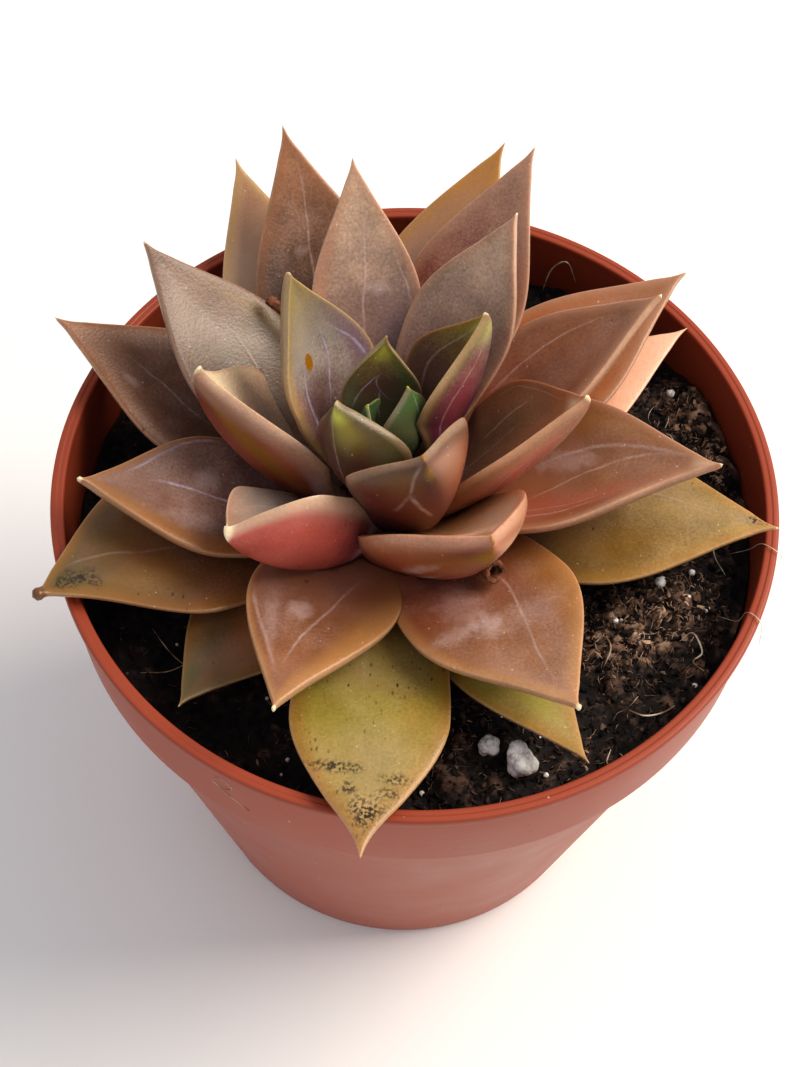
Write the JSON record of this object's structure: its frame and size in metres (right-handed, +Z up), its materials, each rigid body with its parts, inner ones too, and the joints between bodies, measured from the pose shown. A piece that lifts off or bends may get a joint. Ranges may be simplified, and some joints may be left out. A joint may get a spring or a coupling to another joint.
{
  "type": "potted succulent",
  "caption": "Rosette succulent with fleshy pointed leaves on a short stem, growing in a round tapered plastic nursery pot filled with peat mix.",
  "frame": {"origin": "middle of the pot's flat underside, at mount base", "axes": "+Z up out of the pot; -Y towards the side over whose rim the lowest leaf hangs, +X to the right seen from there"},
  "size_m": [0.106, 0.1118, 0.124],
  "materials": {
    "pot_plastic": "satin",
    "peat": "matte",
    "stem_bark": "matte",
    "leaf_bud": "satin",
    "leaf_inner": "satin",
    "leaf_middle": "satin",
    "leaf_outer": "satin",
    "leaf_low": "satin",
    "dry_stalk": "matte",
    "perlite": "matte"
  },
  "bodies": {
    "root": {"pot": "pot_plastic", "soil": "peat", "stem": "stem_bark", "leaf_bud_1": "leaf_bud", "leaf_bud_2": "leaf_bud", "leaf_inner_1": "leaf_inner", "leaf_inner_2": "leaf_inner", "leaf_inner_3": "leaf_inner", "leaf_inner_4": "leaf_inner", "leaf_inner_5": "leaf_inner", "leaf_middle_1": "leaf_middle", "leaf_middle_2": "leaf_middle", "leaf_middle_3": "leaf_middle", "leaf_middle_4": "leaf_middle", "leaf_middle_5": "leaf_middle", "leaf_middle_6": "leaf_middle", "leaf_outer_1": "leaf_outer", "leaf_outer_2": "leaf_outer", "leaf_outer_3": "leaf_outer", "leaf_outer_4": "leaf_outer", "leaf_outer_5": "leaf_outer", "leaf_outer_6": "leaf_outer", "leaf_outer_7": "leaf_outer", "leaf_outer_8": "leaf_outer", "leaf_outer_9": "leaf_outer", "leaf_outer_10": "leaf_outer", "leaf_low_1": "leaf_low", "leaf_low_2": "leaf_low", "leaf_low_3": "leaf_low", "leaf_low_4": "leaf_low", "leaf_low_5": "leaf_low", "leaf_low_6": "leaf_low", "leaf_low_7": "leaf_low", "leaf_low_8": "leaf_low", "leaf_low_9": "leaf_low", "leaf_low_10": "leaf_low", "stalk_stub_front": "dry_stalk", "stalk_stub_back": "dry_stalk", "perlite_large": "perlite", "perlite_small": "perlite"}
  },
  "joints": []
}
